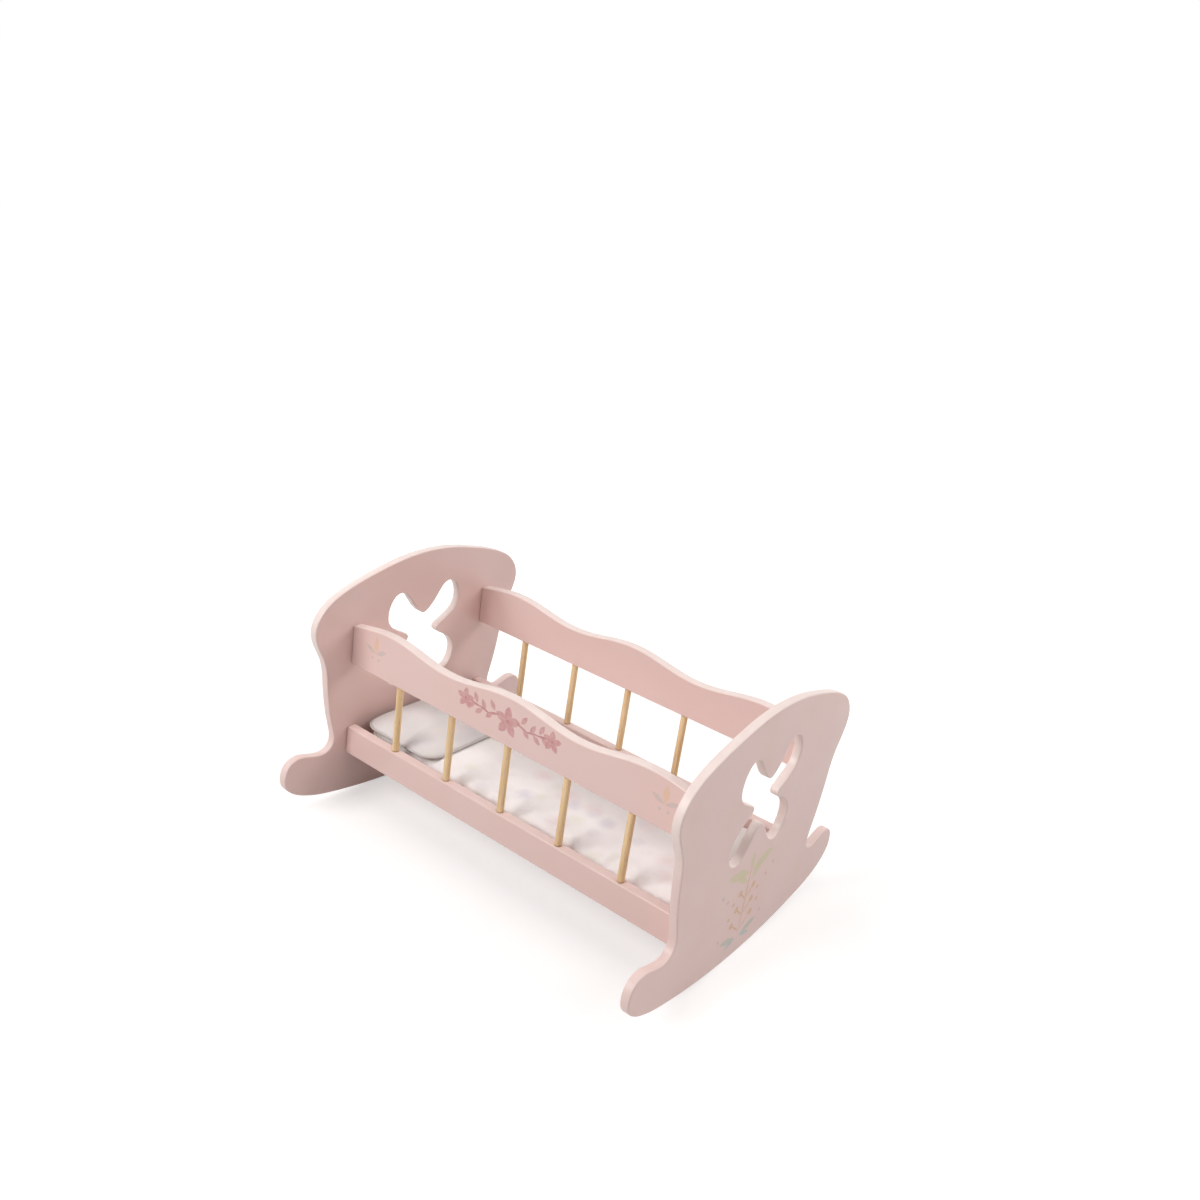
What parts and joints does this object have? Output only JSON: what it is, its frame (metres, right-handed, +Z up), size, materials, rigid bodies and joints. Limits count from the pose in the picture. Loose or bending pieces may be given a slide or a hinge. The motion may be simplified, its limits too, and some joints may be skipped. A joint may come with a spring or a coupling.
{
  "type": "doll cradle",
  "caption": "Rocking doll cradle in painted wood: shaped end panels with butterfly cut-outs on rockers, wavy side rails over round spindles, loose mattress and pillow.",
  "frame": {"origin": "on the floor, below the middle of the cradle", "axes": "+X along the cradle to its foot end, -Y to its front, +Z up"},
  "size_m": [0.5, 0.4, 0.295],
  "materials": {
    "pink_paint": "satin paint",
    "bare_wood": "clear matt varnish",
    "white_cloth": "plain cotton",
    "grey_cloth": "plain cotton"
  },
  "bodies": {
    "frame": {"head_panel": "pink_paint", "foot_panel": "pink_paint", "front_top_rail": "pink_paint", "front_bottom_rail": "pink_paint", "back_top_rail": "pink_paint", "back_bottom_rail": "pink_paint", "base_board": "pink_paint", "front_spindle_1": "bare_wood", "front_spindle_2": "bare_wood", "front_spindle_3": "bare_wood", "front_spindle_4": "bare_wood", "front_spindle_5": "bare_wood", "back_spindle_1": "bare_wood", "back_spindle_2": "bare_wood", "back_spindle_3": "bare_wood", "back_spindle_4": "bare_wood", "back_spindle_5": "bare_wood", "front_top_rail_head_low_pin": "bare_wood", "front_top_rail_head_high_pin": "bare_wood", "back_top_rail_head_low_pin": "bare_wood", "back_top_rail_head_high_pin": "bare_wood", "front_top_rail_foot_low_pin": "bare_wood", "front_top_rail_foot_high_pin": "bare_wood", "back_top_rail_foot_low_pin": "bare_wood", "back_top_rail_foot_high_pin": "bare_wood", "front_bottom_rail_head_pin": "bare_wood", "back_bottom_rail_head_pin": "bare_wood", "front_bottom_rail_foot_pin": "bare_wood", "back_bottom_rail_foot_pin": "bare_wood"},
    "mattress": {"mattress": "white_cloth"},
    "pillow": {"pillow": "grey_cloth"}
  },
  "joints": [
    {"name": "mattress_lift", "type": "slide", "parent": "frame", "child": "mattress", "axis": [0, 0, 1], "range_m": [0, 0.24]},
    {"name": "pillow_lift", "type": "slide", "parent": "mattress", "child": "pillow", "axis": [0, 0, 1], "range_m": [0, 0.22]}
  ]
}
